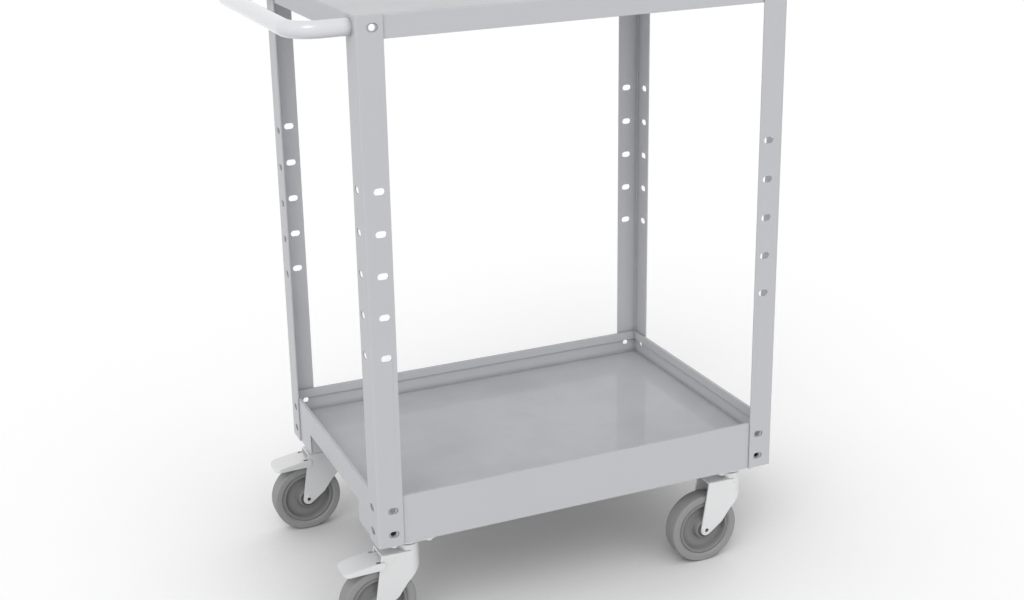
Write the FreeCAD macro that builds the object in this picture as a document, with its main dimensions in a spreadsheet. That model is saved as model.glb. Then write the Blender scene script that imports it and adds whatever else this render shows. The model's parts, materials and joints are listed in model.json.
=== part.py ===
import FreeCAD, Part
import math
import os
import re
import Sketcher

# Anti-static lab trolley: four slotted angle posts, a folded top shelf, a folded bottom tray,
# a tube push handle and four swivel casters, the two under the handle with brake pedals.
# The floor is z = 0, x runs along the long side with the handle at the low end, y runs to the back.

Vector = FreeCAD.Vector

# Driving sizes in millimetres
SIZES = {
    "shelf_length": 600,
    "shelf_width": 400,
    "shelf_wall": 30,
    "tray_wall": 70,
    "floor_rise": 34,
    "hem_height": 13,
    "hem_depth": 3,
    "tab_length": 86,
    "panel_sheet": 1.5,
    "fold_radius": 2.5,
    "wall_hole": 8.5,
    "post_length": 705,
    "post_leg": 36,
    "post_sheet": 2,
    "post_bend": 4,
    "slot_length": 14.5,
    "slot_height": 9,
    "slot_pitch": 55,
    "slot_inset": 22,
    "first_slot_drop": 217.5,
    "foot_slot_rise": 17.5,
    "foot_slot_pitch": 34.5,
    "head_slot_drop": 15,
    "head_slot_height": 11,
    "handle_diameter": 22,
    "handle_wall": 2,
    "handle_reach": 70,
    "handle_bend": 36,
    "plug_length": 24,
    "plug_bottom": 4,
    "handle_bolt": 8,
    "handle_bolt_flats": 13,
    "handle_bolt_head": 5.3,
    "mount_sheet": 2.5,
    "mount_setback": 2,
    "mount_margin": 6,
    "mount_gap": 0.5,
    "window_gap": 1,
    "plate_length": 66,
    "plate_width": 54,
    "plate_sheet": 3,
    "plate_round": 5,
    "plate_end_gap": 13.5,
    "plate_side_gap": 1.5,
    "plate_bolt_x": 50,
    "plate_bolt_y": 38,
    "plate_bolt": 6,
    "plate_bolt_flats": 10,
    "plate_bolt_head": 4,
    "plate_nut": 5,
    "thread_end": 2,
    "head_height": 19,
    "race_height": 7,
    "race_gap": 2,
    "race_overhang": 2.5,
    "race_margin": 1,
    "race_round": 2,
    "ball_diameter": 6,
    "kingpin_diameter": 11,
    "kingpin_head": 18,
    "kingpin_head_height": 3,
    "kingpin_round": 1.2,
    "fork_sheet": 2.5,
    "fork_tail": 42,
    "fork_nose": 16,
    "fork_round": 3,
    "tip_radius": 8.5,
    "bow_reach": 26,
    "bow_rise": 9,
    "knee_reach": 39,
    "knee_rise": 27,
    "nose_rise": 50,
    "axle_trail": 45,
    "crown_clearance": 20,
    "wheel_diameter": 105,
    "wheel_side_gap": 2,
    "tyre_width": 25,
    "tyre_depth": 12.5,
    "tyre_round": 3,
    "tyre_groove": 2,
    "tyre_lip": 3,
    "rim_depth": 4.6,
    "rim_inset": 1.5,
    "core_draft": 3.2,
    "web_thickness": 9,
    "hub_diameter": 28,
    "bush_diameter": 18,
    "bush_length": 11,
    "bush_flange": 0.8,
    "bush_collar": 24,
    "hub_gap": 0.2,
    "sleeve_diameter": 12,
    "axle_diameter": 8,
    "axle_bore": 6,
    "axle_head": 12.5,
    "axle_head_height": 1.2,
    "pedal_reach": 95,
    "pedal_width": 40,
    "pedal_sheet": 2,
    "pedal_lip": 9,
    "pedal_tip_lip": 3,
    "pedal_ear": 12,
    "pedal_drop": 7,
    "pedal_round": 9,
    "pedal_rise": 11.5,
    "pedal_pivot": 24,
    "pedal_pin": 5,
    "pedal_barrel": 10,
    "pedal_gap": 4,
    "pedal_swing": 6,
    "tongue_gap": 1,
    "pin_round": 0.4,
    "shoe_length": 10,
    "shoe_gap": 6,
    "shoe_margin": 2,
    "shoe_round": 1,
    "spring_width": 12,
    "spring_sheet": 0.8,
    "spring_setback": 3,
    "spring_rise": 4,
    "spring_reach": 12,
    "running_gap": 0.05,
    "free_gap": 0.3,
    "bolt_gap": 0.3,
    "thread_gap": 0.1,
}

# Sizes that follow from the driving sizes
DERIVED = {
    "half_length": "shelf_length / 2 + post_sheet",
    "half_width": "shelf_width / 2 + post_sheet",
    "slot_x": "half_length - slot_inset",
    "slot_y": "half_width - slot_inset",
    "centre_x": "(handle_reach + handle_diameter / 2) / 2",
    "wheel_radius": "wheel_diameter / 2",
    "tyre_top": "wheel_diameter",
    "crown_under": "tyre_top + crown_clearance",
    "crown_top": "crown_under + fork_sheet",
    "tray_base": "crown_top + head_height",
    "tray_top": "tray_base + tray_wall",
    "floor_top": "tray_base + floor_rise",
    "floor_under": "floor_top - panel_sheet",
    "post_top": "tray_base + post_length",
    "head_slot": "post_top - head_slot_drop",
    "plate_under": "tray_base - plate_sheet",
    "mount_top": "tray_base + mount_sheet",
    "kingpin_x": "half_length - post_sheet - panel_sheet - plate_end_gap - plate_length / 2",
    "kingpin_y": "half_width - post_sheet - panel_sheet - plate_side_gap - plate_width / 2",
    "fork_inner": "tyre_width / 2 + wheel_side_gap",
    "fork_half": "fork_inner + fork_sheet",
    "fork_far": "axle_trail + tip_radius + 2",
    "kingpin_radius": "kingpin_diameter / 2",
    "lower_race": "fork_half - race_margin",
    "upper_race": "lower_race + race_overhang",
    "ball_circle": "(kingpin_radius + lower_race) / 2",
    "ball_level": "plate_under - race_height - race_gap / 2",
    "groove_radius": "ball_diameter / 2 + free_gap",
    "rim_radius": "wheel_radius - tyre_depth",
    "hub_half": "fork_inner - bush_flange - hub_gap",
    "pedal_under": "tyre_top + pedal_rise",
    "pedal_top": "pedal_under + pedal_sheet",
    "pedal_axis": "pedal_under + pedal_sheet / 2",
    "pedal_low": "pedal_under - pedal_lip - pedal_swing",
    "leg_lean": "(axle_trail + tip_radius - fork_tail) / (crown_top - wheel_radius)",
    "pedal_root": "fork_tail + leg_lean * (crown_top - pedal_low) + pedal_gap",
    "tongue_half": "fork_inner - tongue_gap",
}

CORNERS = {
    "front_left": (-1, -1),
    "front_right": (1, -1),
    "back_left": (-1, 1),
    "back_right": (1, 1),
}
BRAKED = ("front_left", "back_left")
SIDE_SLOTS = 5
RACE_BALLS = 9

doc = FreeCAD.newDocument("lab_trolley")
sheet = doc.addObject("Spreadsheet::Sheet", "Sizes")
for row, (alias, value) in enumerate(SIZES.items(), start=1):
    sheet.set(f"A{row}", alias)
    sheet.set(f"B{row}", str(value))
    sheet.setAlias(f"B{row}", alias)
doc.recompute()

nodes = []


# Turn a rule written with size names into a rule on the sheet's cells
def rule(text):
    def swap(match):
        word = match.group(0)
        if word in DERIVED:
            return f"({rule(DERIVED[word])})"
        if word in SIZES:
            return f"Sizes.{word}"
        return word
    return re.sub(r"[a-z]\w*", swap, text)


# Present value of a rule
def number(text):
    return float(sheet.evalExpression(rule(text)))


# Tie a property of an object to a rule
def tie(item, prop, text):
    item.setExpression(prop, rule(text))


# Tie the place of an object to three rules
def move(item, at):
    for axis, text in zip("xyz", at):
        tie(item, f"Placement.Base.{axis}", text)


# Keep an object as a named sub-part of the trolley
def keep(item, label, at=None):
    item.Label = label
    if at:
        move(item, at)
    nodes.append(item)


# Span between two rules, or its mirror image
def on_side(side, low, high):
    return (low, high) if side > 0 else (f"-({high})", f"-({low})")


# Rectangular block between pairs of rules
def block(name, xs, ys, zs):
    item = doc.addObject("Part::Box", name)
    for prop, (low, high) in zip(("Length", "Width", "Height"), (xs, ys, zs)):
        tie(item, prop, f"({high}) - ({low})")
    move(item, (xs[0], ys[0], zs[0]))
    return item


ALONG = {
    "x": FreeCAD.Rotation(Vector(0, 1, 0), 90),
    "y": FreeCAD.Rotation(Vector(1, 0, 0), -90),
    "z": FreeCAD.Rotation(),
}


# Place of a round or six-sided bar that starts at a level along an axis
def lay(item, axis, centre, start):
    item.Placement = FreeCAD.Placement(Vector(), ALONG[axis])
    at = list(centre)
    at.insert("xyz".index(axis), start)
    move(item, at)


# Round bar along an axis
def rod(name, axis, centre, span, radius):
    item = doc.addObject("Part::Cylinder", name)
    tie(item, "Radius", radius)
    tie(item, "Height", f"({span[1]}) - ({span[0]})")
    lay(item, axis, centre, span[0])
    return item


# Six-sided bar along an axis, sized over its flats
def hexagon(name, axis, centre, span, flats):
    item = doc.addObject("Part::Prism", name)
    item.Polygon = 6
    tie(item, "Circumradius", f"{flats} / sqrt(3)")
    tie(item, "Height", f"({span[1]}) - ({span[0]})")
    lay(item, axis, centre, span[0])
    return item


# Ring groove round the z axis
def groove(name, level, circle, radius):
    item = doc.addObject("Part::Torus", name)
    tie(item, "Radius1", circle)
    tie(item, "Radius2", radius)
    move(item, ("0", "0", level))
    return item


def join(name, items):
    item = doc.addObject("Part::MultiFuse", name)
    item.Shapes = items
    item.Refine = True
    return item


def carve(name, base, tools):
    item = doc.addObject("Part::Cut", name)
    item.Base = base
    item.Tool = tools[0] if len(tools) == 1 else join(f"{name}_tools", tools)
    return item


def group(name, items):
    item = doc.addObject("Part::Compound", name)
    item.Links = items
    return item


# Round the edges of a shape that a test picks out
def rounded(name, base, radius, wanted):
    doc.recompute()
    size = number(radius)
    item = doc.addObject("Part::Fillet", name)
    item.Base = base
    item.Edges = [(index, size, size) for index, edge in enumerate(base.Shape.Edges, start=1) if wanted(edge)]
    return item


def upright(edge):
    return abs(edge.BoundBox.ZLength - edge.Length) < 1e-6


def at_level(edge, level):
    box = edge.BoundBox
    return abs(box.ZMin - level) < 1e-6 and abs(box.ZMax - level) < 1e-6


def new_body(name):
    return doc.addObject("PartDesign::Body", name)


def sketch_on(body, role):
    sketch = body.newObject("Sketcher::SketchObject", f"{body.Name}_sketch")
    plane = next(item for item in body.Origin.OriginFeatures if item.Role == role)
    sketch.AttachmentSupport = (plane, [""])
    sketch.MapMode = "FlatFace"
    return sketch


# Hold one size of a sketch to a rule
def hold(sketch, kind, where, text):
    index = sketch.addConstraint(Sketcher.Constraint(kind, *where, number(text)))
    tie(sketch, f"Constraints[{index}]", text)


# Hold a sketch point to two rules
def hold_point(sketch, curve, end, at):
    hold(sketch, "DistanceX", (-1, 1, curve, end), at[0])
    hold(sketch, "DistanceY", (-1, 1, curve, end), at[1])


def add_line(sketch, start, end):
    ends = [Vector(number(x), number(y), 0) for x, y in (start, end)]
    return sketch.addGeometry(Part.LineSegment(*ends))


def add_arc(sketch, centre, radius, first, last):
    circle = Part.Circle(Vector(number(centre[0]), number(centre[1]), 0), Vector(0, 0, 1), number(radius))
    return sketch.addGeometry(Part.ArcOfCircle(circle, math.radians(first), math.radians(last)))


def meet(sketch, first, first_end, second, second_end, smooth=False):
    kind = "Tangent" if smooth else "Coincident"
    sketch.addConstraint(Sketcher.Constraint(kind, first, first_end, second, second_end))


# Closed outline of straight lines through points
def outline(sketch, points):
    count = len(points)
    lines = [add_line(sketch, points[i], points[(i + 1) % count]) for i in range(count)]
    for i in range(count):
        meet(sketch, lines[i], 2, lines[(i + 1) % count], 1)
        hold_point(sketch, lines[i], 1, points[i])


# Level slot with round ends
def slot(sketch, centre_x, centre_y, length, height):
    half = f"(({length}) - ({height})) / 2"
    radius = f"({height}) / 2"
    left = (f"({centre_x}) - {half}", centre_y)
    right = (f"({centre_x}) + {half}", centre_y)
    low, high = f"({centre_y}) - {radius}", f"({centre_y}) + {radius}"
    start = add_arc(sketch, left, radius, 90, 270)
    base = add_line(sketch, (left[0], low), (right[0], low))
    end = add_arc(sketch, right, radius, -90, 90)
    top = add_line(sketch, (right[0], high), (left[0], high))
    for first, second in ((start, base), (base, end), (end, top), (top, start)):
        meet(sketch, first, 2, second, 1, smooth=True)
    sketch.addConstraint(Sketcher.Constraint("Equal", start, end))
    hold_point(sketch, start, 3, left)
    hold_point(sketch, end, 3, right)
    hold(sketch, "Radius", (start,), radius)


# Open-ended outline seen from above: two straight sides and a round nose
def nose_outline(sketch, far, nose, half):
    middle = f"({nose}) - ({half})"
    near = add_line(sketch, (f"-({far})", f"-({half})"), (middle, f"-({half})"))
    arc = add_arc(sketch, (middle, "0"), half, -90, 90)
    back = add_line(sketch, (middle, half), (f"-({far})", half))
    tail = add_line(sketch, (f"-({far})", half), (f"-({far})", f"-({half})"))
    meet(sketch, near, 2, arc, 1, smooth=True)
    meet(sketch, arc, 2, back, 1, smooth=True)
    meet(sketch, back, 2, tail, 1)
    meet(sketch, tail, 2, near, 1)
    hold_point(sketch, near, 1, (f"-({far})", f"-({half})"))
    hold_point(sketch, tail, 1, (f"-({far})", half))
    hold(sketch, "Radius", (arc,), half)
    hold(sketch, "DistanceX", (-1, 1, arc, 3), middle)
    sketch.addConstraint(Sketcher.Constraint("PointOnObject", arc, 3, -1))


def feature(body, kind, sketch):
    item = body.newObject(kind, f"{body.Name}_{kind.split('::')[1].lower()}")
    item.Profile = sketch
    return item


def pad(body, sketch, length, both=False):
    item = feature(body, "PartDesign::Pad", sketch)
    item.SideType = "Symmetric" if both else "One side"
    tie(item, "Length", length)


def pocket(body, sketch, length, both=False, upward=False):
    item = feature(body, "PartDesign::Pocket", sketch)
    item.SideType = "Symmetric" if both else "One side"
    item.Reversed = upward
    tie(item, "Length", length)


def revolve(body, sketch):
    item = feature(body, "PartDesign::Revolution", sketch)
    item.ReferenceAxis = (sketch, ["V_Axis"])
    item.Angle = 360


# Round the edges of a body that a test picks out
def soften(body, radius, wanted):
    doc.recompute()
    base = body.Tip
    names = [f"Edge{index}" for index, edge in enumerate(base.Shape.Edges, start=1) if wanted(edge)]
    item = body.newObject("PartDesign::Fillet", f"{body.Name}_fillet")
    item.Base = (base, names)
    tie(item, "Radius", radius)


# Angle post: folded sheet with the same slots in both flanges
def angle_post(label, turn, corner_x, corner_y):
    body = new_body(label)
    section = sketch_on(body, "XY_Plane")
    outline(section, [
        ("0", "0"), ("post_leg", "0"), ("post_leg", "post_sheet"),
        ("post_sheet", "post_sheet"), ("post_sheet", "post_leg"), ("0", "post_leg"),
    ])
    pad(body, section, "post_length")
    inner = number("post_sheet")
    soften(body, "post_bend", lambda edge: upright(edge) and edge.CenterOfMass.x + edge.CenterOfMass.y < 1e-6)
    soften(body, "post_bend - post_sheet", lambda edge: upright(edge)
           and abs(edge.CenterOfMass.x - inner) < 1e-6 and abs(edge.CenterOfMass.y - inner) < 1e-6)
    levels = ["foot_slot_rise", "foot_slot_rise + foot_slot_pitch"]
    levels += [f"post_length - first_slot_drop - {i} * slot_pitch" for i in range(SIDE_SLOTS)]
    for role in ("XZ_Plane", "YZ_Plane"):
        slots = sketch_on(body, role)
        for level in levels:
            slot(slots, "slot_inset", level, "slot_length", "slot_height")
        slot(slots, "slot_inset", "post_length - head_slot_drop", "slot_length", "head_slot_height")
        pocket(body, slots, "4 * post_sheet", both=True)
    body.Placement = FreeCAD.Placement(Vector(), FreeCAD.Rotation(Vector(0, 0, 1), turn))
    keep(body, label, (f"centre_x + ({corner_x}) * half_length", f"({corner_y}) * half_width", "tray_base"))


angle_post("post_front_left", 0, -1, -1)
angle_post("post_front_right", 90, 1, -1)
angle_post("post_back_right", 180, 1, 1)
angle_post("post_back_left", 270, -1, 1)


# Round holes through opposite panel walls, in line with the post slots
def wall_holes(name, levels):
    holes = []
    for level in levels:
        for side in (-1, 1):
            long_way = ("-half_length", "half_length")
            cross_way = ("-half_width", "half_width")
            holes.append(rod(f"{name}_hole", "y", (f"({side}) * slot_x", level), cross_way, "wall_hole / 2"))
            holes.append(rod(f"{name}_hole", "x", (f"({side}) * slot_y", level), long_way, "wall_hole / 2"))
    return holes


# Block with the outline of the panels, set in from it by a size
def panel_block(name, inset, zs):
    xs = (f"-(shelf_length / 2 - ({inset}))", f"shelf_length / 2 - ({inset})")
    ys = (f"-(shelf_width / 2 - ({inset}))", f"shelf_width / 2 - ({inset})")
    return block(name, xs, ys, zs)


# Bottom tray: four hemmed walls welded round a raised floor, short walls cut away below it
tray_span = ("tray_base", "tray_top")
hem_span = ("tray_top - hem_height", "tray_top")
tray_outside = rounded("tray_outside", panel_block("tray_block", "0", tray_span), "fold_radius", upright)
tray_walls = carve("tray_walls", tray_outside, [panel_block("tray_inside", "panel_sheet", tray_span)])
hem_inset = "panel_sheet + hem_depth"
hem_inside = panel_block("hem_inside", hem_inset, hem_span)
tray_hem = carve("tray_hem", panel_block("hem_block", "panel_sheet", hem_span), [hem_inside])
tray_floor = panel_block("tray_floor", "panel_sheet", ("floor_under", "floor_top"))
notch_span = ("tab_length - shelf_width / 2", "shelf_width / 2 - tab_length")
tray_notch = block("tray_notch", ("-half_length", "half_length"), notch_span, ("tray_base", "floor_under"))
tray_levels = ("tray_base + foot_slot_rise", "tray_base + foot_slot_rise + foot_slot_pitch")
wall_frame = carve("wall_frame", join("hemmed_walls", [tray_walls, tray_hem]),
                   [tray_notch] + wall_holes("tray", tray_levels))
seam = f"shelf_width / 2 - ({hem_inset})"
whole_length = ("-half_length", "half_length")
short_run = (f"-({seam})", seam)
wall_cells = [
    (whole_length, ("-half_width", f"-({seam})")), (whole_length, (seam, "half_width")),
    (("-half_length", "0"), short_run), (("0", "half_length"), short_run),
]
tray_sheets = [tray_floor]
for xs, ys in wall_cells:
    wall = doc.addObject("Part::MultiCommon", "tray_wall")
    wall.Shapes = [wall_frame, block("wall_cell", xs, ys, tray_span)]
    tray_sheets.append(wall)
keep(group("tray_sheets", tray_sheets), "bottom_tray", ("centre_x", "0", "0"))

# Top shelf: flat top with four down-turned walls
shelf_span = ("post_top - shelf_wall", "post_top")
shelf_top_level = number("post_top")
shelf_outside = rounded("shelf_outside", panel_block("shelf_block", "0", shelf_span), "fold_radius",
                        lambda edge: upright(edge) or at_level(edge, shelf_top_level))
shelf_inside = panel_block("shelf_inside", "panel_sheet", (shelf_span[0], "post_top - panel_sheet"))
shelf = carve("shelf", shelf_outside, [shelf_inside] + wall_holes("shelf", ("head_slot",)))
keep(shelf, "top_shelf", ("centre_x", "0", "0"))

# Push handle: tube bent twice, its ends against the left flanges over the head slots
handle = new_body("push_handle")
handle_path = sketch_on(handle, "XY_Plane")
straight = "handle_reach - handle_bend"
handle_points = [
    ("0", "0"), (f"-({straight})", "0"), ("-handle_reach", "handle_bend"),
    ("-handle_reach", "2 * slot_y - handle_bend"), (f"-({straight})", "2 * slot_y"), ("0", "2 * slot_y"),
]
front_arm = add_line(handle_path, handle_points[0], handle_points[1])
front_bend = add_arc(handle_path, (f"-({straight})", "handle_bend"), "handle_bend", 180, 270)
grip = add_line(handle_path, handle_points[2], handle_points[3])
back_bend = add_arc(handle_path, (f"-({straight})", "2 * slot_y - handle_bend"), "handle_bend", 90, 180)
back_arm = add_line(handle_path, handle_points[4], handle_points[5])
meet(handle_path, front_arm, 2, front_bend, 2, smooth=True)
meet(handle_path, front_bend, 1, grip, 1)
meet(handle_path, grip, 2, back_bend, 2, smooth=True)
meet(handle_path, back_bend, 1, back_arm, 1)
meet(handle_path, front_arm, 1, -1, 1)
for curve, end, at in ((front_arm, 2, 1), (grip, 1, 2), (grip, 2, 3), (back_arm, 1, 4), (back_arm, 2, 5)):
    hold_point(handle_path, curve, end, handle_points[at])
handle_ring = sketch_on(handle, "YZ_Plane")
for radius in ("handle_diameter / 2", "handle_diameter / 2 - handle_wall"):
    ring = handle_ring.addGeometry(Part.Circle(Vector(), Vector(0, 0, 1), number(radius)))
    meet(handle_ring, ring, 3, -1, 1)
    hold(handle_ring, "Radius", (ring,), radius)
tube = feature(handle, "PartDesign::AdditivePipe", handle_ring)
tube.Spine = (handle_path, ["Edge1", "Edge2", "Edge3", "Edge4", "Edge5"])
keep(handle, "push_handle", ("centre_x - half_length", "-slot_y", "head_slot"))

# Plugs inside the handle ends, with bolts into them from inside the shelf wall
handle_plugs = []
handle_bolts = []
for side in (-1, 1):
    axis_at = (f"({side}) * slot_y", "head_slot")
    plug_radius = "handle_diameter / 2 - handle_wall - running_gap"
    plug = rod("handle_plug", "x", axis_at, ("-plug_length", "0"), plug_radius)
    bore = rod("plug_bore", "x", axis_at, ("-plug_length", "0"), "handle_bolt / 2 + thread_gap")
    handle_plugs.append(carve("bored_plug", plug, [bore]))
    wall_face = "post_sheet + panel_sheet"
    shank = rod("handle_shank", "x", axis_at, ("plug_bottom - plug_length", wall_face), "handle_bolt / 2")
    head_span = (wall_face, f"{wall_face} + handle_bolt_head")
    head = hexagon("handle_bolt_head", "x", axis_at, head_span, "handle_bolt_flats")
    handle_bolts.append(join("handle_bolt", [shank, head]))
handle_end = ("centre_x - half_length", "0", "0")
keep(group("handle_plug_pair", handle_plugs), "handle_plugs", handle_end)
keep(group("handle_bolt_pair", handle_bolts), "handle_bolts", handle_end)


# Place of a caster's king pin
def kingpin_at(corner):
    side_x, side_y = CORNERS[corner]
    return (f"centre_x + ({side_x}) * kingpin_x", f"({side_y}) * kingpin_y", "0")


# Places of the four plate bolts round a king pin
def plate_bolts():
    return [(f"({i}) * plate_bolt_x / 2", f"({j}) * plate_bolt_y / 2") for i in (-1, 1) for j in (-1, 1)]


# Four bolt holes through a span of levels
def plate_bolt_holes(name, span):
    return [rod(f"{name}_hole", "z", at, span, "plate_bolt / 2 + bolt_gap") for at in plate_bolts()]


# Folded channel that carries a caster below the tray floor
def caster_mount(corner):
    side_x, side_y = CORNERS[corner]
    end_out, end_in = "plate_length / 2 + plate_end_gap - mount_gap", "plate_length / 2 + mount_margin"
    side_out = "plate_width / 2 + plate_side_gap"
    side_in = "kingpin_y - (shelf_width / 2 - tab_length) - mount_setback"
    xs = on_side(side_x, f"-({end_in})", end_out)
    ys = on_side(side_y, f"-({side_in})", side_out)
    inner_ys = (f"{ys[0]} + mount_sheet", f"{ys[1]} - mount_sheet")
    outside = block("mount_outside", xs, ys, ("tray_base", "floor_under"))
    inside = block("mount_inside", xs, inner_ys, ("mount_top", "floor_under"))
    window = rod("mount_window", "z", ("0", "0"), ("tray_base", "mount_top"), "kingpin_head / 2 + window_gap")
    foot_bolt_at = (f"({side_x}) * (slot_x - kingpin_x)", "tray_base + foot_slot_rise")
    foot_bolt_ys = on_side(side_y, f"{side_out} - 2 * mount_sheet", f"{side_out} + mount_sheet")
    foot_hole = rod("mount_foot_hole", "y", foot_bolt_at, foot_bolt_ys, "wall_hole / 2")
    holes = plate_bolt_holes("mount", ("tray_base", "mount_top"))
    mount = carve("mount", outside, [inside, window, foot_hole] + holes)
    keep(mount, f"caster_mount_{corner}", kingpin_at(corner))


# Top plate of a caster with the upper race pressed down from it
def top_plate(corner):
    race_base = "plate_under - race_height"
    plate = block("plate_block", ("-plate_length / 2", "plate_length / 2"),
                  ("-plate_width / 2", "plate_width / 2"), ("plate_under", "tray_base"))
    race = rod("upper_race", "z", ("0", "0"), (race_base, "plate_under"), "upper_race")
    level = number(race_base)
    soft_plate = rounded("plate_corners", plate, "plate_round", upright)
    soft_race = rounded("race_edge", race, "race_round", lambda edge: at_level(edge, level))
    hole = rod("plate_hole", "z", ("0", "0"), (race_base, "tray_base"), "kingpin_radius + running_gap")
    track = groove("upper_track", "ball_level", "ball_circle", "groove_radius")
    holes = plate_bolt_holes("plate", ("plate_under", "tray_base"))
    keep(carve("plate", join("plate_race", [soft_plate, soft_race]), [hole, track] + holes),
         f"top_plate_{corner}", kingpin_at(corner))


# Ring of balls between the races
def race_balls(corner):
    balls = []
    for index in range(RACE_BALLS):
        angle = 2 * math.pi * index / RACE_BALLS
        ball = doc.addObject("Part::Sphere", "race_ball")
        tie(ball, "Radius", "ball_diameter / 2")
        across, along = math.cos(angle), math.sin(angle)
        move(ball, (f"ball_circle * ({across:.6f})", f"ball_circle * ({along:.6f})", "ball_level"))
        balls.append(ball)
    keep(group("ball_ring", balls), f"race_balls_{corner}", kingpin_at(corner))


# King pin: rivet from below the fork crown to above the top plate
def king_pin(corner):
    low_face = "crown_under - free_gap"
    foot_span = (f"{low_face} - kingpin_head_height", low_face)
    cap_span = ("tray_base", "tray_base + kingpin_head_height")
    low_head = rod("kingpin_foot", "z", ("0", "0"), foot_span, "kingpin_head / 2")
    shank = rod("kingpin_shank", "z", ("0", "0"), (low_face, "tray_base"), "kingpin_radius")
    top_head = rod("kingpin_cap", "z", ("0", "0"), cap_span, "kingpin_head / 2")
    foot_level = number(foot_span[0])
    soft_head = rounded("kingpin_foot_edge", low_head, "kingpin_round",
                        lambda edge: at_level(edge, foot_level))
    keep(join("kingpin", [soft_head, shank, top_head]), f"kingpin_{corner}", kingpin_at(corner))


# Pressed fork: crown and two legs folded from one sheet round the nose
def fork(corner):
    body = new_body("fork_body")
    plan = sketch_on(body, "XY_Plane")
    nose_outline(plan, "fork_far", "fork_nose", "fork_half")
    pad(body, plan, "crown_top")
    level = number("crown_top")
    soften(body, "fork_round", lambda edge: at_level(edge, level) and edge.BoundBox.XLength > 1)
    hollow = sketch_on(body, "XY_Plane")
    nose_outline(hollow, "fork_far + 5", "fork_nose - fork_sheet", "fork_inner")
    pocket(body, hollow, "crown_under", upward=True)
    pocket(body, leg_trim(body), "4 * fork_half", both=True)
    race_span = ("crown_under", "ball_level - race_gap / 2")
    crown_race = rod("lower_race", "z", ("0", "0"), race_span, "lower_race")
    tools = [
        rod("kingpin_hole", "z", ("0", "0"), ("crown_under", "ball_level"), "kingpin_radius + running_gap"),
        groove("lower_track", "ball_level", "ball_circle", "groove_radius"),
        rod("axle_hole", "y", ("-axle_trail", "wheel_radius"), ("-fork_half", "fork_half"),
            "axle_diameter / 2 + running_gap"),
    ]
    if corner in BRAKED:
        tools.append(rod("pin_hole", "y", ("-pedal_pivot", "pedal_axis"), ("-fork_half", "fork_half"),
                         "pedal_pin / 2 + running_gap"))
    keep(carve("fork", join("fork_race", [body, crown_race]), tools), f"fork_{corner}", kingpin_at(corner))


# Sheet cut away round a fork leg: straight trailing edge, round tip, bowed leading edge
def leg_trim(body):
    sketch = sketch_on(body, "XZ_Plane")
    tip = ("-axle_trail", "wheel_radius")
    tail = ("-fork_tail", "crown_top")
    bow = ("bow_reach - axle_trail", "wheel_radius + bow_rise")
    knee = ("knee_reach - axle_trail", "wheel_radius + knee_rise")
    nose = ("fork_nose + 1", "wheel_radius + nose_rise")
    border = [
        nose, ("fork_nose + 6", "wheel_radius + nose_rise"), ("fork_nose + 6", "-2"),
        ("-(fork_far + 6)", "-2"), ("-(fork_far + 6)", "crown_top"), tail,
    ]
    left = tangent_angle(tip, tail, 1)
    right = tangent_angle(tip, bow, -1)
    lines = [add_line(sketch, border[i], border[i + 1]) for i in range(len(border) - 1)]
    trailing = add_line(sketch, tail, on_tip(tip, left))
    arc = add_arc(sketch, tip, "tip_radius", left, right)
    leading = add_line(sketch, on_tip(tip, right), bow)
    rise = add_line(sketch, bow, knee)
    shoulder = add_line(sketch, knee, nose)
    for i in range(len(lines) - 1):
        meet(sketch, lines[i], 2, lines[i + 1], 1)
    meet(sketch, lines[-1], 2, trailing, 1)
    meet(sketch, trailing, 2, arc, 1, smooth=True)
    meet(sketch, arc, 2, leading, 1, smooth=True)
    meet(sketch, leading, 2, rise, 1)
    meet(sketch, rise, 2, shoulder, 1)
    meet(sketch, shoulder, 2, lines[0], 1)
    for line, at in zip(lines, border):
        hold_point(sketch, line, 1, at)
    hold_point(sketch, trailing, 1, tail)
    hold_point(sketch, arc, 3, tip)
    hold(sketch, "Radius", (arc,), "tip_radius")
    hold_point(sketch, rise, 1, bow)
    hold_point(sketch, shoulder, 1, knee)
    return sketch


# Angle on the leg tip where a straight edge from a point runs into it
def tangent_angle(tip, point, side):
    across = number(point[0]) - number(tip[0])
    up = number(point[1]) - number(tip[1])
    reach = math.hypot(across, up)
    turn = math.acos(number("tip_radius") / reach)
    return math.degrees(math.atan2(up, across) + side * turn) % 360


# Point on the leg tip at an angle
def on_tip(tip, angle):
    turn = math.radians(angle)
    across, up = math.cos(turn), math.sin(turn)
    return (f"{tip[0]} + tip_radius * ({across:.9f})", f"{tip[1]} + tip_radius * ({up:.9f})")


# Hollow riveted axle with a sleeve that the wheel turns on
def axle(corner):
    at = ("-axle_trail", "wheel_radius")
    shank = rod("axle_shank", "y", at, ("-fork_half", "fork_half"), "axle_diameter / 2")
    near = rod("axle_head", "y", at, ("-fork_half - axle_head_height", "-fork_half"), "axle_head / 2")
    far = rod("axle_head", "y", at, ("fork_half", "fork_half + axle_head_height"), "axle_head / 2")
    bore_span = ("-fork_half - axle_head_height", "fork_half + axle_head_height")
    bore = rod("axle_bore", "y", at, bore_span, "axle_bore / 2")
    keep(carve("axle", join("axle_solid", [shank, near, far]), [bore]), f"axle_{corner}", kingpin_at(corner))
    tube = rod("sleeve_tube", "y", at, ("-fork_inner", "fork_inner"), "sleeve_diameter / 2")
    hole = rod("sleeve_hole", "y", at, ("-fork_inner", "fork_inner"), "axle_diameter / 2 + running_gap")
    keep(carve("sleeve", tube, [hole]), f"axle_sleeve_{corner}", kingpin_at(corner))


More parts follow.
